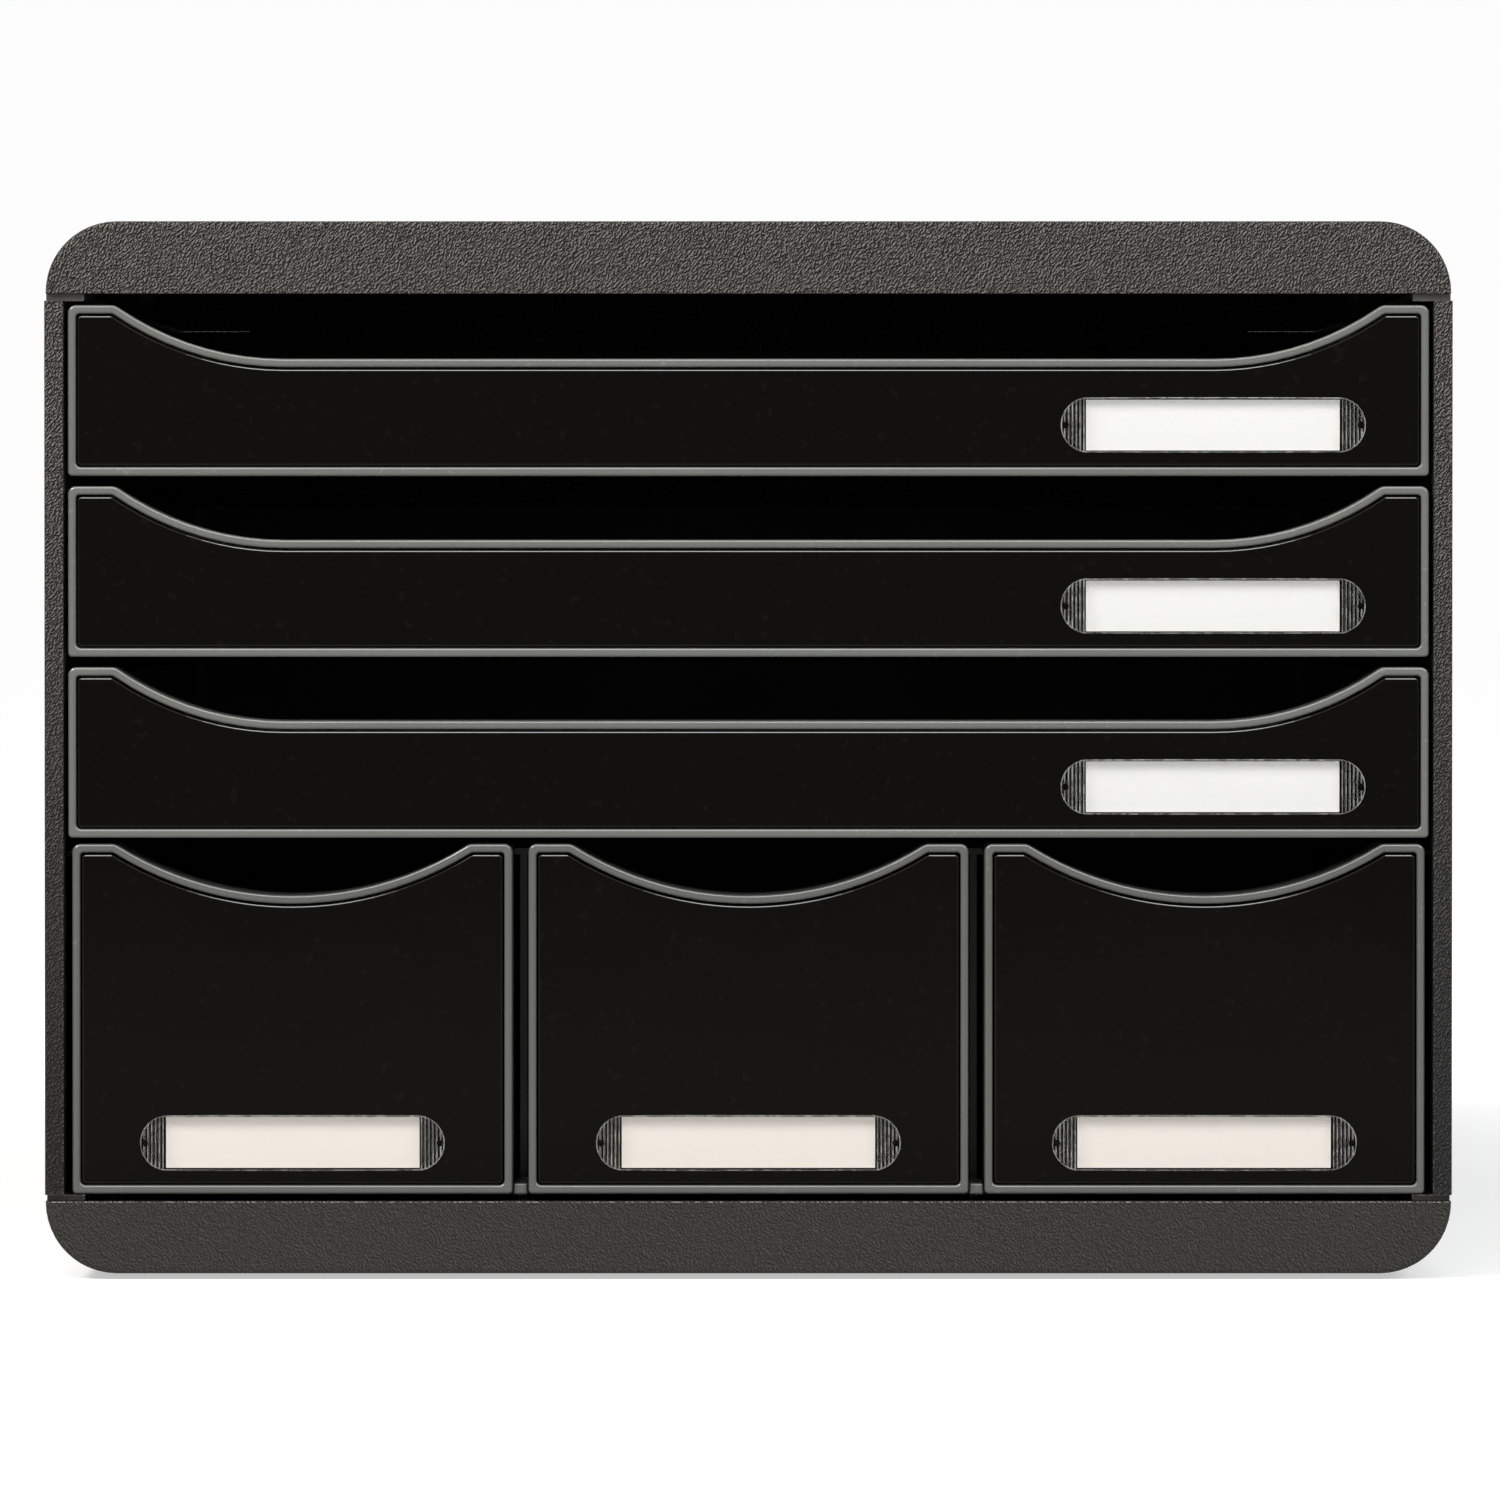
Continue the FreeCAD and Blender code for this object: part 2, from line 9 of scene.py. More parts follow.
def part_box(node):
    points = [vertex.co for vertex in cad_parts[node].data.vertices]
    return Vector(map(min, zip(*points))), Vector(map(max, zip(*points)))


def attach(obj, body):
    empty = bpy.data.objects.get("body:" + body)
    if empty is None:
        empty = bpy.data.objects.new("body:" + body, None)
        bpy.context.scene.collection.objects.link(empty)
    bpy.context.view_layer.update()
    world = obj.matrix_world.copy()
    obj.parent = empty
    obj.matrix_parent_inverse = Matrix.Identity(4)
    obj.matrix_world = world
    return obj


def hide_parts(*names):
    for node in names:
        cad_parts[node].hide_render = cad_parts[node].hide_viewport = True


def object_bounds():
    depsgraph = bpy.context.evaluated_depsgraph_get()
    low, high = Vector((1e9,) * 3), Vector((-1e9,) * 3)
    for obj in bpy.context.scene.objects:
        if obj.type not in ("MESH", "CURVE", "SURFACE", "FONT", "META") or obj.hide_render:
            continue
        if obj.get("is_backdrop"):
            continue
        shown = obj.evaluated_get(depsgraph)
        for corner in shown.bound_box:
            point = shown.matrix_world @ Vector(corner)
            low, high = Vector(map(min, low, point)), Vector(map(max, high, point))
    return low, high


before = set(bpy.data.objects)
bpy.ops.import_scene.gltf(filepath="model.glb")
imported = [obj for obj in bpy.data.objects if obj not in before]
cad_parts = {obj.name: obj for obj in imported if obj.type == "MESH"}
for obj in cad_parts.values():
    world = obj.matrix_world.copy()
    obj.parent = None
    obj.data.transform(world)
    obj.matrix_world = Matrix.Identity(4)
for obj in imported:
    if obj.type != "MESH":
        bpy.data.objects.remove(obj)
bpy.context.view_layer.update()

bl_info = {
    "name": "Desktop mini drawers",
    "version": (1, 0, 0),
    "blender": (4, 5, 0),
    "location": "View3D > Sidebar > Drawers",
    "description": "Dresses the packed drawers with their grained, satin, gloss and clear plastics",
    "category": "Object",
}

MM = 0.001  # metres

WIDE_DRAWERS = ("lower_drawer", "middle_drawer", "upper_drawer")
NARROW_DRAWERS = ("left_small_drawer", "centre_small_drawer", "right_small_drawer")
DRAWERS = WIDE_DRAWERS + NARROW_DRAWERS


def colour_property(name, description, default):
    return FloatVectorProperty(name=name, description=description, default=default, size=3,
                               subtype="COLOR", min=0.0, max=1.0)


def length_property(name, description, default):
    return FloatProperty(name=name, description=description, default=default, min=0.0,
                         subtype="DISTANCE", unit="LENGTH", precision=5)


def share_property(name, description, default):
    return FloatProperty(name=name, description=description, default=default, min=0.0, max=1.0,
                         subtype="FACTOR")


class HousingFinish(bpy.types.PropertyGroup):
    colour: colour_property("Housing colour", "Colour of the grained housing plastic",
                            (0.070, 0.0635, 0.0575))
    base_colour: colour_property("Base colour", "Colour of the base cover", (0.043, 0.042, 0.036))
    grain_size: length_property("Grain size", "Width of one pebble of the leather grain", 0.44 * MM)
    grain_depth: length_property("Grain depth", "Height of the pebbles over the creases", 1.3 * MM)
    base_grain_size: length_property("Base grain size", "Width of one pebble on the base cover",
                                     0.38 * MM)
    base_grain_depth: length_property("Base grain depth", "Height of the pebbles on the base cover",
                                      0.35 * MM)
    # The side panels take a painted shade, darker towards the bottom, between these two heights.
    painted_falloff_low: length_property("Painted falloff low", "Height at which the side panels are darkest", 30.0 * MM)
    painted_falloff_high: length_property("Painted falloff high", "Height from which the side panels are palest",
                               235.0 * MM)
    flange: length_property("Flange", "Height of the side panels' smooth end flanges", 1.9 * MM)
    roughness: share_property("Housing roughness", "Roughness of the housing plastic", 0.36)


class DrawerFinish(bpy.types.PropertyGroup):
    frame_colour: colour_property("Frame colour", "Colour of the wide trays and their front frames",
                                  (0.140, 0.143, 0.128))
    # The narrow trays and the shelf are the wide trays' plastic in painted shade, darker as they
    # sit lower.
    shaded_narrow_frame_colour: colour_property("Narrow frame colour",
                                         "Colour of the narrow trays and the shelf",
                                         (0.100, 0.102, 0.092))
    frame_roughness: share_property("Frame roughness", "Roughness of the satin grey plastic", 0.30)
    # From this depth back, the trays also take a painted shade.
    frame_depth: length_property("Frame depth", "From the drawer fronts to where trays get matt",
                                 12.0 * MM)
    nose_gap: length_property("Nose gap", "Room between a shelf nose and the drawer fronts",
                              0.35 * MM)
    nose_set_back: length_property("Nose set back", "From the drawer fronts to the shelf noses",
                                   1.2 * MM)
    nose_height: length_property("Nose height", "How far the noses stand over the shelf", 2.1 * MM)
    nose_sink: length_property("Nose sink", "How far the noses reach down into the shelf", 0.6 * MM)
    nose_reach: length_property("Nose reach", "How far the noses reach back over the shelf",
                                4.0 * MM)
    nose_round: length_property("Nose round", "Radius of the noses' edges", 0.4 * MM)
    insert_colour: colour_property("Insert colour", "Colour of the glossy front panels",
                                   (0.0022, 0.0020, 0.0016))
    insert_roughness: share_property("Insert roughness", "Roughness of the glossy front panels",
                                     0.05)
    inner_colour: colour_property("Inner colour", "Colour of the dividers", (0.007, 0.007, 0.0065))
    rubber_colour: colour_property("Rubber colour", "Colour of the feet", (0.016, 0.016, 0.016))


class LabelShape(bpy.types.PropertyGroup):
    card_colour: colour_property("Card colour", "Colour of the wide drawers' cards",
                                 (0.855, 0.85, 0.82))
    narrow_card_colour: colour_property("Narrow card colour", "Colour of the narrow drawers' cards",
                                        (0.865, 0.81, 0.75))
    # The windows' edges and a strip of each rib are painted this light colour as a highlight.
    edge_highlight_colour: colour_property("Edge highlight colour", "Colour of the windows' polished edges",
                                 (0.78, 0.79, 0.74))
    bevel: length_property("Edge width", "Width of the rounded edge of a window", 0.32 * MM)
    rib_pitch: length_property("Rib pitch", "From one grip rib to the next", 0.97 * MM)
    rib_depth: length_property("Rib depth", "Depth between the grip ribs", 0.35 * MM)
    rib_margin: length_property("Rib margin", "From the card to the first rib", 0.45 * MM)
    hole: length_property("Prying hole", "Diameter of the prying hole at each end", 1.7 * MM)
    hole_inset: length_property("Hole inset",
                                "From a window's end to the middle of its prying hole",
                                1.25 * MM)
    recess: length_property("Card recess", "Depth of the recess that holds the card", 0.5 * MM)


class StageSetup(bpy.types.PropertyGroup):
    camera_height: length_property("Camera height", "Height of the lens over the floor", 0.185)
    camera_distance: length_property("Camera distance", "From the lens to the drawer fronts", 1.5)
    frame_width: length_property("Frame width", "Width of the picture at the drawer fronts",
                                 0.37815)
    frame_centre: length_property("Frame centre",
                                  "Height of the picture's middle at the drawer fronts",
                                  0.1337)
    frame_offset: length_property("Frame offset",
                                  "How far the picture's middle is right of the housing's",
                                  0.0004)
    floor_colour: share_property("Floor colour", "Grey level of the pale floor", 0.80)
    near_lift: share_property("Near lift", "How bright the floor's shadow looks near the object",
                              0.50)
    near_reach: length_property("Near reach", "From the middle to where the lift begins to rise",
                                0.22)
    far_reach: length_property("Far reach", "From the middle to where the lift is full", 0.62)
    white_level: share_property("White level", "How white the empty floor and the room look", 0.98)
    key_power: FloatProperty(name="Key power", default=13.3, min=0.0,
                             description="Power of the soft lamp at the upper left, in watts")
    top_power: FloatProperty(name="Top power", default=4.6, min=0.0,
                             description="Power of the wide soft lamp over the front, in watts")
    fill_power: FloatProperty(name="Fill power", default=7.4, min=0.0,
                              description="Power of the soft lamp at the right, in watts")
    room_strength: FloatProperty(name="Room strength", default=0.17, min=0.0,
                                 description="Light of the pale room on the object")


def new_material(name):
    """A material with nothing in it but a principled shader."""
    material = bpy.data.materials.new(name)
    material.use_nodes = True
    tree = material.node_tree
    tree.nodes.clear()
    out = tree.nodes.new("ShaderNodeOutputMaterial")
    shader = tree.nodes.new("ShaderNodeBsdfPrincipled")
    tree.links.new(shader.outputs["BSDF"], out.inputs["Surface"])
    return material, tree, shader


def new_group(name, inputs, outputs):
    """A shader node group with its sockets; inputs are (kind, name, default)."""
    group = bpy.data.node_groups.new(name, "ShaderNodeTree")
    for kind, label, default in inputs:
        socket = group.interface.new_socket(label, in_out="INPUT", socket_type="NodeSocket" + kind)
        if default is not None:
            socket.default_value = default
    for kind, label in outputs:
        group.interface.new_socket(label, in_out="OUTPUT", socket_type="NodeSocket" + kind)
    return group, group.nodes.new("NodeGroupInput"), group.nodes.new("NodeGroupOutput")


def feed(tree, node, values):
    """Give each of a node's inputs a link, where the value is another node's socket, or a value."""
    for key, value in values.items():
        if isinstance(value, bpy.types.NodeSocket):
            tree.links.new(value, node.inputs[key])
        else:
            node.inputs[key].default_value = value


def math_node(tree, operation, *values):
    node = tree.nodes.new("ShaderNodeMath")
    node.operation = operation
    feed(tree, node, dict(enumerate(values)))
    return node.outputs["Value"]


def vector_node(tree, operation, *values):
    node = tree.nodes.new("ShaderNodeVectorMath")
    node.operation = operation
    feed(tree, node, dict(enumerate(values)))
    return node.outputs["Value" if operation in ("DOT_PRODUCT", "LENGTH") else "Vector"]


def ramp(tree, value, low, high, to_low=0.0, to_high=1.0):
    """A smooth step between two levels of a value."""
    node = tree.nodes.new("ShaderNodeMapRange")
    node.interpolation_type = "SMOOTHSTEP"
    feed(tree, node, {"Value": value, "From Min": low, "From Max": high,
                      "To Min": to_low, "To Max": to_high})
    return node.outputs["Result"]


def mix_colour(tree, share, first, second):
    node = tree.nodes.new("ShaderNodeMix")
    node.data_type = "RGBA"
    feed(tree, node, {"Factor": share, "A": first, "B": second})
    return node.outputs["Result"]


def noise(tree, vector, scale, detail=2.0, rough=0.5):
    node = tree.nodes.new("ShaderNodeTexNoise")
    feed(tree, node, {"Vector": vector, "Scale": scale, "Detail": detail, "Roughness": rough})
    return node.outputs["Fac"]


def bump(tree, height, depth, normal=None):
    node = tree.nodes.new("ShaderNodeBump")
    feed(tree, node, {"Strength": 1.0, "Distance": depth, "Height": height})
    if normal is not None:
        tree.links.new(normal, node.inputs["Normal"])
    return node.outputs["Normal"]


def part_of(tree, vector, axis):
    split = tree.nodes.new("ShaderNodeSeparateXYZ")
    tree.links.new(vector, split.inputs[0])
    return split.outputs[axis]


def place_socket(tree):
    """The place in the object's frame, in metres."""
    return tree.nodes.new("ShaderNodeTexCoord").outputs["Object"]


def height_share(tree, place, low, high, to_low=0.0, to_high=1.0):
    """A share that changes with the height over the floor."""
    return ramp(tree, part_of(tree, place, "Z"), low, high, to_low, to_high)


def opaque(colour, times=1.0):
    """A colour with full alpha, made so many times as bright."""
    return tuple(channel * times for channel in colour[:3]) + (1.0,)


GRAIN_TURN = math.radians(50.0)  # how far the pebbles' long way leans


def leather_grain():
    """Pebbles drawn out along one diagonal, as on the housing, with a painted highlight on the
    flanks that slope one way and painted shade on the others.
    """
    group, inner, out = new_group(
        "Leather grain",
        [("Vector", "Place", None), ("Float", "Pebble size", MM), ("Float", "Stretch", 1.8),
         ("Float", "Softness", 0.09), ("Float", "Turn", GRAIN_TURN)],
        [("Float", "Height"), ("Float", "Pale flank"), ("Float", "Dark flank")])
    size = inner.outputs["Pebble size"]
    turned = []
    normal = group.nodes.new("ShaderNodeNewGeometry").outputs["Normal"]
    for vector in (inner.outputs["Place"], normal):
        turn = group.nodes.new("ShaderNodeVectorRotate")
        turn.rotation_type = "Y_AXIS"
        feed(group, turn, {"Angle": inner.outputs["Turn"], "Vector": vector})
        turned.append(turn.outputs[0])
    drawn = group.nodes.new("ShaderNodeCombineXYZ")
    shrink = math_node(group, "DIVIDE", 1.0, inner.outputs["Stretch"])
    feed(group, drawn, {"X": shrink, "Y": 1.0, "Z": 1.0})
    here = vector_node(group, "MULTIPLY", turned[0], drawn.outputs[0])
    # The next place is half a pebble away, within the surface whichever way that faces.
    across = vector_node(group, "CROSS_PRODUCT", turned[1], (1.0, 0.6, 0.0))
    step = vector_node(group, "MULTIPLY", across, math_node(group, "MULTIPLY", size, 0.5))
    scale = math_node(group, "DIVIDE", 1.0, size)
    swell, next_swell = [noise(group, place, scale, detail=1.0)
                         for place in (here, vector_node(group, "ADD", here, step))]
    # Height is the pebble's rise; the painted highlight goes on flanks that slope down towards the
    # next place, as though the light came from there, and painted shade on the rest.
    levels = []
    for other in (0.5, next_swell):
        rise = math_node(group, "SUBTRACT", swell, other)
        share = math_node(group, "DIVIDE", rise, inner.outputs["Softness"])
        levels.append(ramp(group, share, -1.0, 1.0))
    height, pale = levels
    feed(group, out, {"Height": height, "Pale flank": pale,
                      "Dark flank": math_node(group, "SUBTRACT", 1.0, pale)})
    return group


def moulded_skin():
    """The slight unevenness of a moulded surface: a fine height, a soft blotch and fine specks."""
    group, inner, out = new_group(
        "Moulded skin",
        [("Vector", "Place", None), ("Float", "Blotch scale", 30.0),
         ("Float", "Speck scale", 2200.0)],
        [("Float", "Height"), ("Float", "Blotch"), ("Float", "Speck")])
    blotch, height = [noise(group, inner.outputs["Place"], inner.outputs[label], detail=3.0)
                      for label in ("Blotch scale", "Speck scale")]
    feed(group, out, {"Height": height, "Blotch": blotch, "Speck": ramp(group, height, 0.62, 0.72)})
    return group


def edge_light():
    """How near a surface is to an outer edge, from the bevelled normal."""
    group, inner, out = new_group(
        "Edge light", [("Float", "Width", 0.5 * MM)], [("Float", "Edge"), ("Vector", "Normal")])
    bevel = group.nodes.new("ShaderNodeBevel")
    bevel.samples = 8
    feed(group, bevel, {"Radius": inner.outputs["Width"]})
    rounded = bevel.outputs["Normal"]
    plain = group.nodes.new("ShaderNodeNewGeometry").outputs["Normal"]
    match = vector_node(group, "DOT_PRODUCT", rounded, plain)
    feed(group, out, {"Edge": ramp(group, match, 0.995, 0.85), "Normal": rounded})
    return group


def shared_groups():
    found = {}
    for key, name, build in (("grain", "Leather grain", leather_grain),
                             ("skin", "Moulded skin", moulded_skin),
                             ("edge", "Edge light", edge_light)):
        found[key] = bpy.data.node_groups.get(name) or build()
    return found


def use_group(tree, group, **values):
    """Put a node group in and return its outputs."""
    node = tree.nodes.new("ShaderNodeGroup")
    node.node_tree = group
    feed(tree, node, {label.replace("_", " "): value for label, value in values.items()})
    return node.outputs


HOUSING_EDGE = 0.55 * MM  # how far the housing's light edges, partly rubbed by use and partly painted highlight, reach
WEAR_AND_HIGHLIGHT_TIMES = 2.6          # the light edges' colour over the housing's, rubbing with a painted highlight
PAINTED_HIGHLIGHT_TIMES = 3.2          # the painted highlight flanks' colour over the housing's
PAINTED_SHADE_SHARE = 0.86         # how much darker the painted shade flanks are, at full contrast
LOW_GRAIN = 0.75          # how much of the grain, with its painted highlight and shade, is left at the side panels' lower ends
LOW_SHARE = 0.25          # painted shade: how much of its own colour is left there;
LOW_TIMES = 0.12          # the rest is this much of the housing's colour


def grained_plastic(name, colour, size, depth, roughness, groups, contrast=1.0,
                    wear_and_highlight_times=WEAR_AND_HIGHLIGHT_TIMES, turn=GRAIN_TURN, painted_falloff=None, smooth_ends=None):
    """Leather grain with its painted highlight and shade. painted_falloff is the two heights
    between which a painted shade darkens it downwards, and smooth_ends, given with it, the two
    heights outside which there is no grain."""
    material, tree, shader = new_material(name)
    place = place_socket(tree)
    grain = use_group(tree, groups["grain"], Place=place, Pebble_size=size, Turn=turn)
    edge = use_group(tree, groups["edge"], Width=HOUSING_EDGE)
    skin = use_group(tree, groups["skin"], Place=place, Blotch_scale=22.0)
    # dark and pale carry the grain's painted shade and painted highlight.
    height, dark = grain["Height"], grain["Dark flank"]
    pale = ramp(tree, grain["Pale flank"], 0.68, 1.0, 0.0, contrast)
    if painted_falloff:
        low, high = smooth_ends
        step = 0.05 * MM
        ends = math_node(tree, "MULTIPLY", height_share(tree, place, low - step, low + step),
                         height_share(tree, place, high + step, high - step))
        kept = math_node(tree, "MULTIPLY", height_share(tree, place, *painted_falloff, LOW_GRAIN, 1.0), ends)
        height, dark, pale = [math_node(tree, "MULTIPLY", level, kept)
                              for level in (height, dark, pale)]
    shade = mix_colour(tree, skin["Blotch"], opaque(colour, 0.86), opaque(colour, 1.14))
    shade = mix_colour(tree, dark, shade, opaque(colour, 1.0 - PAINTED_SHADE_SHARE * contrast))
    shade = mix_colour(tree, pale, shade, opaque(colour, PAINTED_HIGHLIGHT_TIMES))
    if painted_falloff:
        # Painted shade: the side panels darken towards the bottom, as though less light reached
        # there.
        lit = height_share(tree, place, *painted_falloff, LOW_SHARE, 1.0)
        shade = mix_colour(tree, lit, opaque(colour, LOW_TIMES), shade)
    # Light edges: partly rubbed by use, partly a painted highlight where the edges catch the light.
    worn_and_highlit = math_node(tree, "MULTIPLY", edge["Edge"], ramp(tree, grain["Height"], 0.2, 0.7))
    feed(tree, shader, {
        "Base Color": mix_colour(tree, worn_and_highlit, shade, opaque(colour, wear_and_highlight_times)),
        "Roughness": math_node(tree, "MULTIPLY_ADD", dark, 0.3, roughness),
        "Specular IOR Level": 0.15,
        "Normal": bump(tree, height, depth, edge["Normal"])})
    return material


def normal_part(tree, axis):
    return part_of(tree, tree.nodes.new("ShaderNodeNewGeometry").outputs["True Normal"], axis)


def facing_front(tree):
    """How squarely a face looks to the front or the back of the drawers: 1 on the flat faces."""
    return math_node(tree, "ABSOLUTE", normal_part(tree, "Y"))


def upper_roll_sheen(tree, flat, rolled, upward):
    """A painted sheen: how much clear coat a rolled edge gets, fully where it has turned from the
    flat facing to the rolled one and looks straight up, and hardly where it looks up by less than
    upward, so that edges shine where lamps above light them."""
    roll = ramp(tree, facing_front(tree), flat, rolled)
    across = math_node(tree, "SUBTRACT", 1.0001, math_node(tree, "POWER", facing_front(tree), 2.0))
    rise = math_node(tree, "DIVIDE", normal_part(tree, "Z"), math_node(tree, "SQRT", across))
    return math_node(tree, "MULTIPLY", roll, ramp(tree, rise, upward, 0.995, 0.04, 1.0))


TRAY_EDGE = 0.3 * MM    # how far the trays' light edges, partly rubbed by use and partly painted highlight, reach
TRAY_ROUND = 0.9 * MM   # how far their edges look rounded
INSIDE_STEP = 8.0 * MM  # the way over which a tray gets matt and darker with painted shade


def satin_plastic(name, colour, roughness, groups, edge_wear_and_highlight=0.0, inner_shade_from=None):
    """Satin plastic whose light edges are partly rubbed and partly painted highlight;
    inner_shade_from is the depth from which a tray gets matt and darker with painted shade.
    """
    material, tree, shader = new_material(name)
    place = place_socket(tree)
    skin = use_group(tree, groups["skin"], Place=place, Blotch_scale=35.0, Speck_scale=1500.0)
    shade = mix_colour(tree, skin["Blotch"], opaque(colour, 0.92), opaque(colour, 1.08))
    rough = math_node(tree, "MULTIPLY_ADD", skin["Blotch"], 0.12, roughness - 0.06)
    normal = None
    if edge_wear_and_highlight:
        # Light edges, partly rubbed by use and partly a painted highlight, and scuffs.
        edge = use_group(tree, groups["edge"], Width=TRAY_EDGE)
        normal = use_group(tree, groups["edge"], Width=TRAY_ROUND)["Normal"]
        streak = ramp(tree, noise(tree, place, 620.0, 4.0, 0.7), 0.60, 0.68)
        patch = ramp(tree, noise(tree, place, 17.0, 1.0), 0.52, 0.62)
        scuff = math_node(tree, "MULTIPLY", streak, patch)
        share = math_node(tree, "MULTIPLY", math_node(tree, "MAXIMUM", edge["Edge"], scuff), edge_wear_and_highlight)
        shade = mix_colour(tree, share, shade, opaque(colour, 1.9))
        rough = math_node(tree, "MULTIPLY_ADD", scuff, 0.15, rough)
    if inner_shade_from is not None:
        # Painted sheen: a clear coat on the trays' upward rolled edges.
        feed(tree, shader, {
            "Coat Weight": upper_roll_sheen(tree, flat=0.985, rolled=0.88, upward=0.6),
            "Coat Roughness": 0.18,
            "Coat IOR": 1.85})
        # Painted shade: further back in the tray the colour darkens, where shade falls.
        painted_inner_shade = ramp(tree, part_of(tree, place, "Y"), inner_shade_from, inner_shade_from + INSIDE_STEP)
        shade = mix_colour(tree, painted_inner_shade, shade, opaque(colour, 0.3))
        rough = math_node(tree, "MULTIPLY_ADD", painted_inner_shade, 0.4, rough)
    feed(tree, shader, {
        "Base Color": shade,
        "Roughness": rough,
        "Normal": bump(tree, skin["Height"], 0.006 * MM, normal)})
    return material


def gloss_plastic(name, colour, roughness, groups):
    """Black gloss whose upward rolled edges carry a clear coat, a painted sheen."""
    material, tree, shader = new_material(name)
    place = place_socket(tree)
    skin = use_group(tree, groups["skin"], Place=place, Blotch_scale=14.0, Speck_scale=420.0)
    warp = noise(tree, place, 26.0, 1.0)
    feed(tree, shader, {
        "Base Color": mix_colour(tree, skin["Speck"], opaque(colour), opaque(colour, 2.2)),
        "Roughness": math_node(tree, "MULTIPLY_ADD", skin["Blotch"], 0.04, roughness),
        "Normal": bump(tree, warp, 0.25 * MM),
        "Coat Weight": upper_roll_sheen(tree, flat=0.985, rolled=0.90, upward=0.94),
        "Coat Roughness": 0.12,
        "Coat IOR": 2.4,
        "Specular Tint": (0.09, 0.085, 0.075, 1.0)})
    return material


def clear_plastic(name):
    """Clear window plastic: the flat faces let light straight through to the card."""
    material, tree, shader = new_material(name)
    haze = noise(tree, place_socket(tree), 300.0)
    feed(tree, shader, {
        "Base Color": (0.97, 0.98, 0.97, 1.0),
        "Transmission Weight": 1.0,
        "IOR": 1.49,
        "Roughness": ramp(tree, haze, 0.4, 0.75, 0.02, 0.08),
        "Alpha": ramp(tree, facing_front(tree), 0.9995, 0.98, 0.06, 0.92)})
    return material


def painted_edge_highlight(name, colour):
    """A painted highlight: a light, partly clear colour on the windows' rounded edges and rib
    strips, where clear plastic catches the light.
    """
    material, tree, shader = new_material(name)
    flow = noise(tree, place_socket(tree), 420.0, 3.0)
    feed(tree, shader, {
        "Base Color": mix_colour(tree, flow, opaque(colour, 0.8), opaque(colour, 1.1)),
        "Roughness": 0.16,
        "Alpha": ramp(tree, flow, 0.35, 0.65, 0.18, 0.40)})
    return material


def paper_card(name, colour):
    material, tree, shader = new_material(name)
    fibre = noise(tree, place_socket(tree), 900.0, 4.0)
    feed(tree, shader, {
        "Base Color": mix_colour(tree, fibre, opaque(colour, 0.97), opaque(colour, 1.03)),
        "Roughness": 0.85,
        "Normal": bump(tree, fibre, 0.01 * MM)})
    return material


def paint(node, material):
    """Give a node of the frame one material."""
    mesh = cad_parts[node].data
    mesh.materials.clear()
    mesh.materials.append(material)


class DRAWERS_OT_finish_housing(bpy.types.Operator):
    """Give the covers, side panels and back panel their leather grain"""
    bl_idname = "drawers.finish_housing"
    bl_label = "Finish housing"

    def execute(self, context):
        look = context.scene.housing_finish
        groups = shared_groups()
        coarse = grained_plastic("Grained housing plastic", look.colour, look.grain_size,
                                 look.grain_depth, look.roughness, groups)
        panel_low, panel_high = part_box("base_cover")[1].z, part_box("top_cover")[0].z
        sides = grained_plastic("Side panel plastic", look.colour, look.grain_size,
                                look.grain_depth, look.roughness, groups,
                                painted_falloff=(look.painted_falloff_low, look.painted_falloff_high),
                                smooth_ends=(panel_low + look.flange, panel_high - look.flange))
        # On the base cover the light edges are mostly a painted highlight, as along its top edge.
        fine = grained_plastic("Fine grained housing plastic", look.base_colour,
                               look.base_grain_size, look.base_grain_depth, look.roughness + 0.1,
                               groups, contrast=0.34, wear_and_highlight_times=14.0, turn=-GRAIN_TURN)
        for node in ("top_cover", "back_panel"):
            paint(node, coarse)
        for node in ("left_side_panel", "right_side_panel"):
            paint(node, sides)
        paint("base_cover", fine)
        return {"FINISHED"}


def new_piece(mesh, body, material_slot, *materials):
    """An object that rides on a body and takes the given materials. Its material_slot is not used.
    """
    piece = bpy.data.objects.new(mesh.name, mesh)
    bpy.context.scene.collection.objects.link(piece)
    for material in materials:
        mesh.materials.append(material)
    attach(piece, body)
    return piece


def rounded_block(name, low, high, radius):
    """A block between two corners with rolled edges."""
    form = bmesh.new()
    bmesh.ops.create_cube(form, size=1.0)
    for vertex in form.verts:
        vertex.co = Vector([low[axis] if vertex.co[axis] < 0 else high[axis] for axis in range(3)])
    bmesh.ops.bevel(form, geom=form.edges[:], offset=radius, segments=3, profile=0.5,
                    affect="EDGES")
    mesh = bpy.data.meshes.new(name)
    form.to_mesh(mesh)
    form.free()
    mesh.shade_smooth()
    return mesh


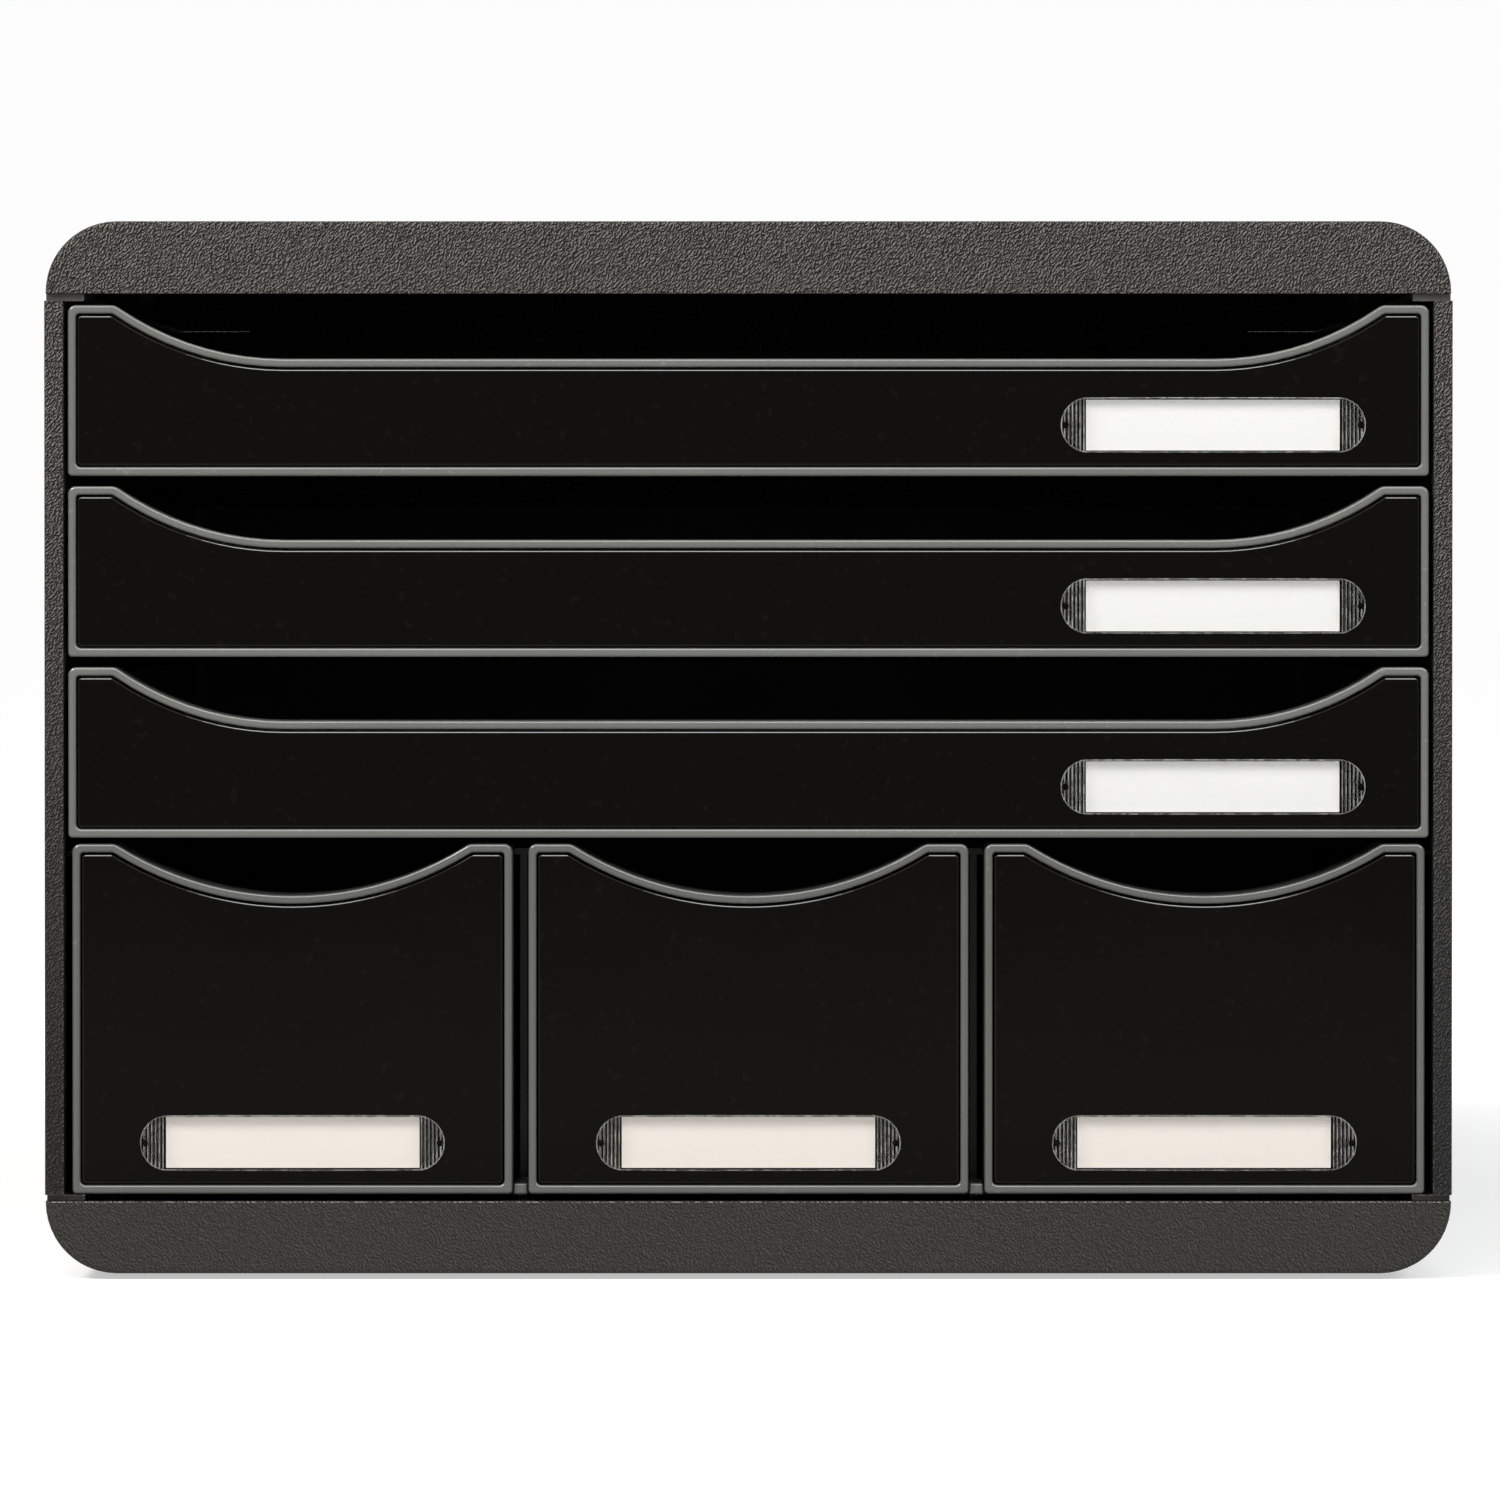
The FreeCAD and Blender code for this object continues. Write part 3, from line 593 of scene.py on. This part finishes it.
class DRAWERS_OT_finish_trays(bpy.types.Operator):
    """Give the trays and the shelf their satin grey plastic, and the shelf its noses"""
    bl_idname = "drawers.finish_trays"
    bl_label = "Finish trays"

    def execute(self, context):
        look = context.scene.drawer_finish
        groups = shared_groups()
        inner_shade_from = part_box("upper_drawer_tray")[0].y + look.frame_depth
        satin, shaded_satin = [
            satin_plastic(name, colour, look.frame_roughness, groups, edge_wear_and_highlight=0.6, inner_shade_from=inner_shade_from)
            for name, colour in (("Satin grey plastic", look.frame_colour),
                                 ("Darker satin grey plastic", look.shaded_narrow_frame_colour))]
        for drawers, plastic in ((WIDE_DRAWERS, satin), (NARROW_DRAWERS, shaded_satin)):
            for drawer in drawers:
                paint(drawer + "_tray", plastic)
        paint("small_drawer_shelf", shaded_satin)
        trays = [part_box(drawer + "_tray") for drawer in NARROW_DRAWERS]
        shelf_low, shelf_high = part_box("small_drawer_shelf")
        front = trays[0][0].y
        for number, (before, after) in enumerate(zip(trays, trays[1:]), 1):
            low = (before[1].x + look.nose_gap, front + look.nose_set_back,
                   shelf_high.z - look.nose_sink)
            high = (after[0].x - look.nose_gap, shelf_low.y + look.nose_reach,
                    shelf_high.z + look.nose_height)
            mesh = rounded_block(f"shelf_nose_{number}", low, high, look.nose_round)
            new_piece(mesh, "housing", "drawer_grey", shaded_satin)
        return {"FINISHED"}


class DRAWERS_OT_finish_fronts(bpy.types.Operator):
    """Give the front panels their black gloss"""
    bl_idname = "drawers.finish_fronts"
    bl_label = "Finish fronts"

    def execute(self, context):
        look = context.scene.drawer_finish
        gloss = gloss_plastic("Black gloss plastic", look.insert_colour, look.insert_roughness,
                              shared_groups())
        for drawer in DRAWERS:
            paint(drawer + "_front_panel", gloss)
        return {"FINISHED"}


ROLL_STEPS = 4                 # faces over a window's rolled edge
RIB_STEPS = 6                  # faces along one grip rib,
GLINT_STEPS = 2               # and how many of them take the painted highlight
RIB_SLOPE = 1.6                # how steep the ribs' flanks are
END_ANGLES = (12, 9, 6, 3, 0)  # degrees up from the level, around the outermost part of an end


def window_outline(reach, inner, card_half, first_rib, pitch):
    """Centres and angles of the places from a window's middle to its end, and which is the first
    of the ribs."""
    limit = reach + inner * math.cos(math.radians(END_ANGLES[0]))
    count = max(0, math.ceil((limit - first_rib) / pitch * RIB_STEPS))
    ribbed = [first_rib + index * pitch / RIB_STEPS for index in range(count)]
    plain = [x for x in (0.0, card_half * 0.5, card_half) if x < reach]
    outline = []
    for x in plain + ribbed:
        outline.append((x, math.pi / 2) if x <= reach else (reach, math.acos((x - reach) / inner)))
    return outline + [(reach, math.radians(angle)) for angle in END_ANGLES], len(plain)


def window_plate(low, high, card_half, shape):
    """A clear plate with round ends: a rolled edge, and grip ribs from the card to each end. The
    rolled edge and a strip of each rib take the second material, a painted highlight.
    """
    middle = (low + high) / 2
    radius = (high.z - low.z) / 2
    reach = (high.x - low.x) / 2 - radius
    inner = radius - shape.bevel
    first_rib = card_half + shape.rib_margin
    outline, first_ribbed = window_outline(reach, inner, card_half, first_rib, shape.rib_pitch)
    last = len(outline) - 1
    form = bmesh.new()
    columns = {}  # the points from the front face over the rolled edge to the back face
    for side in (-1, 1):
        for level in (-1, 1):
            for index, (centre, turn) in enumerate(outline):
                along = (centre + inner * math.cos(turn) - first_rib) / shape.rib_pitch
                wave = 0.5 - 0.5 * math.cos(2 * math.pi * along)
                dip = min(1.0, RIB_SLOPE * wave) if along > 0 else 0.0
                profile = []
                for step in range(ROLL_STEPS + 1):
                    lean = math.pi / 2 * step / ROLL_STEPS
                    profile.append((inner + shape.bevel * math.sin(lean),
                                    low.y + shape.bevel * (1 - math.cos(lean))
                                    + shape.rib_depth * dip * (1 - step / ROLL_STEPS)))
                profile.append((radius, high.y))
                columns[side, level, index] = [
                    form.verts.new((middle.x + side * (centre + out * math.cos(turn)), y,
                                    middle.z + level * (out * math.sin(turn))))
                    for out, y in profile]
    ring = []
    for side, level, order in ((1, 1, range(last + 1)), (1, -1, range(last, -1, -1)),
                               (-1, -1, range(last + 1)), (-1, 1, range(last, -1, -1))):
        ring += [columns[side, level, index] for index in order]
    highlight_faces = []
    for here, there in zip(ring, ring[1:] + ring[:1]):
        for step in range(ROLL_STEPS + 1):
            face = form.faces.new((here[step], here[step + 1], there[step + 1], there[step]))
            if step < ROLL_STEPS:
                highlight_faces.append(face)
    for side in (-1, 1):
        for index in range(last):
            # The first faces of each rib get the painted highlight.
            bright = index >= first_ribbed and (index - first_ribbed) % RIB_STEPS < GLINT_STEPS
            upper, next_upper = columns[side, 1, index], columns[side, 1, index + 1]
            lower, next_lower = columns[side, -1, index], columns[side, -1, index + 1]
            for step in (0, ROLL_STEPS + 1):
                face = form.faces.new((upper[step], next_upper[step],
                                       next_lower[step], lower[step]))
                if step == 0 and bright:
                    highlight_faces.append(face)
    bmesh.ops.remove_doubles(form, verts=form.verts[:], dist=0.0005 * MM)
    for face in highlight_faces:
        if face.is_valid:
            face.material_index = 1
    bmesh.ops.recalc_face_normals(form, faces=form.faces[:])
    return form


def window_cutter(low, high, card, shape):
    """What is taken out of a window: the card's recess behind and the prying hole at each end."""
    form = bmesh.new()
    bmesh.ops.create_cube(form, size=1.0)
    room = 0.1 * MM
    rear = high.y
    corners = ((card[0].x - room, rear - shape.recess, card[0].z - room),
               (card[1].x + room, rear + MM, card[1].z + room))
    for vertex in form.verts:
        vertex.co = Vector([corners[vertex.co[axis] > 0][axis] for axis in range(3)])
    middle = (low + high) / 2
    across = Matrix.Rotation(math.pi / 2, 4, "X")
    radius = shape.hole / 2
    through = 6 * MM
    for x in (low.x + shape.hole_inset, high.x - shape.hole_inset):
        place = Matrix.Translation((x, middle.y, middle.z)) @ across
        bmesh.ops.create_cone(form, cap_ends=True, segments=32, radius1=radius, radius2=radius,
                              depth=through, matrix=place)
    bmesh.ops.recalc_face_normals(form, faces=form.faces[:])
    return form


def cut_mesh(name, body, cutter, materials):
    """The mesh of one form with another taken out of it."""
    pair = []
    for label, form in (("body", body), ("cutter", cutter)):
        mesh = bpy.data.meshes.new(name + "_" + label)
        form.to_mesh(mesh)
        form.free()
        pair.append(bpy.data.objects.new(mesh.name, mesh))
        bpy.context.scene.collection.objects.link(pair[-1])
    for material in materials:
        pair[0].data.materials.append(material)
    cut = pair[0].modifiers.new("cut", "BOOLEAN")
    cut.operation = "DIFFERENCE"
    cut.solver = "EXACT"
    cut.object = pair[1]
    depsgraph = bpy.context.evaluated_depsgraph_get()
    mesh = bpy.data.meshes.new_from_object(pair[0].evaluated_get(depsgraph))
    mesh.name = name
    for helper in pair:
        bpy.data.objects.remove(helper)
    return mesh


class DRAWERS_OT_make_label_windows(bpy.types.Operator):
    """Make the clear label windows with their rolled edges, grip ribs and prying holes"""
    bl_idname = "drawers.make_label_windows"
    bl_label = "Make label windows"

    def execute(self, context):
        shape = context.scene.label_shape
        clear = clear_plastic("Clear window plastic")
        edge = painted_edge_highlight("Polished window edge", shape.edge_highlight_colour)
        for drawer in DRAWERS:
            low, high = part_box(drawer + "_label_window")
            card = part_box(drawer + "_label_card")
            plate = window_plate(low, high, (card[1].x - card[0].x) / 2, shape)
            cutter = window_cutter(low, high, card, shape)
            mesh = cut_mesh(drawer + "_clear_window", plate, cutter, (clear, edge))
            piece = new_piece(mesh, drawer, "clear_window")
            for face in mesh.polygons:
                face.use_smooth = face.material_index == 1
            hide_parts(drawer + "_label_window")
        return {"FINISHED"}


class DRAWERS_OT_finish_label_cards(bpy.types.Operator):
    """Give the label cards their paper"""
    bl_idname = "drawers.finish_label_cards"
    bl_label = "Finish label cards"

    def execute(self, context):
        shape = context.scene.label_shape
        for name, colour, drawers in (
                ("White card", shape.card_colour, WIDE_DRAWERS),
                ("Warm white card", shape.narrow_card_colour, NARROW_DRAWERS)):
            paper = paper_card(name, colour)
            for drawer in drawers:
                paint(drawer + "_label_card", paper)
        return {"FINISHED"}


class DRAWERS_OT_finish_inner_parts(bpy.types.Operator):
    """Give the dividers and the feet their finish"""
    bl_idname = "drawers.finish_inner_parts"
    bl_label = "Finish dividers and feet"

    def execute(self, context):
        look = context.scene.drawer_finish
        groups = shared_groups()
        inner = satin_plastic("Inner black plastic", look.inner_colour, 0.5, groups)
        rubber = satin_plastic("Foot rubber", look.rubber_colour, 0.75, groups)
        for node in ("left_divider", "right_divider"):
            paint(node, inner)
        paint("rubber_feet", rubber)
        return {"FINISHED"}


WHITE = (1.0, 1.0, 1.0, 1.0)
SENSOR = 36.0         # the camera sensor's width, in millimetres
LARGEST_SHIFT = 0.10  # how far the lens is shifted at most, as a share of the picture's width
FLOOR_REACH = 12.0    # from the middle of the floor to its sides
LAMPS = (             # name, power, size, place from the top of the drawer fronts, colour
    ("Key light", "key_power", (0.32, 0.32), (-0.95, -0.55, 0.85), (1.0, 0.985, 0.96)),
    ("Top light", "top_power", (1.30, 0.30), (0.0, -0.50, 0.80), (1.0, 1.0, 1.0)),
    ("Fill light", "fill_power", (0.50, 0.50), (0.95, -0.70, 0.60), (0.98, 0.99, 1.0)),
)


def seen_share(tree):
    """1 for what the camera sees, directly, in gloss or through glass; 0 for light on things."""
    path = tree.nodes.new("ShaderNodeLightPath").outputs
    indirect = math_node(tree, "MAXIMUM", path["Is Glossy Ray"], path["Is Transmission Ray"])
    return math_node(tree, "MAXIMUM", path["Is Camera Ray"], indirect)


def add_camera(scene, stage, front):
    """A level lens shifted down to the picture's middle, tilted where the shift isn't enough."""
    data = bpy.data.cameras.new("Camera")
    data.sensor_width = SENSOR
    data.lens = SENSOR * stage.camera_distance / stage.frame_width
    drop = stage.camera_height - stage.frame_centre
    shifted = min(LARGEST_SHIFT, drop / stage.frame_width)
    data.shift_y = -shifted
    tilt = math.atan2(drop - shifted * stage.frame_width, stage.camera_distance)
    camera = bpy.data.objects.new("Camera", data)
    camera.location = (stage.frame_offset, front - stage.camera_distance, stage.camera_height)
    camera.rotation_euler = (math.pi / 2 - tilt, 0.0, 0.0)
    scene.collection.objects.link(camera)
    scene.camera = camera


def pale_floor(name, stage):
    """A matt floor that looks brighter than it is lit, the more so the further from the object."""
    material, tree, shader = new_material(name)
    away = vector_node(tree, "LENGTH", place_socket(tree))
    far_lift = max(stage.near_lift, stage.white_level - stage.floor_colour * stage.room_strength)
    lift = ramp(tree, away, stage.near_reach, stage.far_reach, stage.near_lift, far_lift)
    feed(tree, shader, {
        "Base Color": (*[stage.floor_colour] * 3, 1.0),
        "Roughness": 1.0,
        "Specular IOR Level": 0.0,
        "Emission Color": WHITE,
        "Emission Strength": math_node(tree, "MULTIPLY", seen_share(tree), lift)})
    return material


def add_room(scene, stage):
    """A pale room, white where it is seen and dimmer in the light it gives."""
    world = bpy.data.worlds.new("Pale room")
    scene.world = world
    world.use_nodes = True
    tree = world.node_tree
    tree.nodes.clear()
    out = tree.nodes.new("ShaderNodeOutputWorld")
    mix = tree.nodes.new("ShaderNodeMixShader")
    tree.links.new(seen_share(tree), mix.inputs["Fac"])
    for slot, strength in ((1, stage.room_strength), (2, stage.white_level)):
        light = tree.nodes.new("ShaderNodeBackground")
        feed(tree, light, {"Color": WHITE, "Strength": strength})
        tree.links.new(light.outputs[0], mix.inputs[slot])
    tree.links.new(mix.outputs[0], out.inputs["Surface"])


def soft_lamp(name, power, size, place, target, colour):
    """A flat soft lamp at a place, turned to a target."""
    data = bpy.data.lights.new(name, "AREA")
    data.energy = power
    data.shape = "RECTANGLE"
    data.size, data.size_y = size
    data.color = colour
    lamp = bpy.data.objects.new(name, data)
    bpy.context.scene.collection.objects.link(lamp)
    lamp.location = place
    lamp.rotation_euler = (place - target).to_track_quat("Z", "Y").to_euler()
    lamp.visible_camera = False


class DRAWERS_OT_set_stage(bpy.types.Operator):
    """Set the camera, the pale floor, the pale room and the soft lights"""
    bl_idname = "drawers.set_stage"
    bl_label = "Set stage"

    def execute(self, context):
        scene = context.scene
        stage = scene.drawer_stage
        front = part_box("upper_drawer_tray")[0].y
        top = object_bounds()[1].z
        add_camera(scene, stage, front)

        mesh = bpy.data.meshes.new("floor")
        corners = [(x * FLOOR_REACH, y * FLOOR_REACH, 0)
                   for x, y in ((-1, -1), (1, -1), (1, 1), (-1, 1))]
        mesh.from_pydata(corners, [], [(0, 1, 2, 3)])
        mesh.materials.append(pale_floor("Pale floor", stage))
        floor = bpy.data.objects.new("floor", mesh)
        scene.collection.objects.link(floor)
        floor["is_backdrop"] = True

        add_room(scene, stage)
        middle = Vector((0.0, front, 0.6 * top))
        for name, power, size, (x, y, z), colour in LAMPS:
            place = Vector((x, front + y, top + z))
            soft_lamp(name, getattr(stage, power), size, place, middle, colour)
        scene.view_settings.view_transform = "Standard"
        return {"FINISHED"}


class DRAWERS_PT_panel(bpy.types.Panel):
    """Lists the steps that dress the drawers"""
    bl_label = "Desktop mini drawers"
    bl_idname = "DRAWERS_PT_panel"
    bl_space_type = "VIEW_3D"
    bl_region_type = "UI"
    bl_category = "Drawers"

    def draw(self, context):
        for operator in STEPS:
            self.layout.operator(operator.bl_idname)


SETTINGS = {"housing_finish": HousingFinish, "drawer_finish": DrawerFinish,
            "label_shape": LabelShape, "drawer_stage": StageSetup}
STEPS = (DRAWERS_OT_set_stage, DRAWERS_OT_finish_housing, DRAWERS_OT_finish_trays,
         DRAWERS_OT_finish_fronts, DRAWERS_OT_make_label_windows, DRAWERS_OT_finish_label_cards,
         DRAWERS_OT_finish_inner_parts)


def register():
    for cls in (*SETTINGS.values(), *STEPS, DRAWERS_PT_panel):
        bpy.utils.register_class(cls)
    for name, cls in SETTINGS.items():
        setattr(bpy.types.Scene, name, PointerProperty(type=cls))


def unregister():
    for name in SETTINGS:
        delattr(bpy.types.Scene, name)
    for cls in reversed((*SETTINGS.values(), *STEPS, DRAWERS_PT_panel)):
        bpy.utils.unregister_class(cls)


def main():
    register()
    bpy.ops.drawers.set_stage()
    bpy.ops.drawers.finish_housing()
    bpy.ops.drawers.finish_trays()
    bpy.ops.drawers.finish_fronts()
    bpy.ops.drawers.make_label_windows()
    bpy.ops.drawers.finish_label_cards()
    bpy.ops.drawers.finish_inner_parts()


if __name__ == "__main__":
    main()
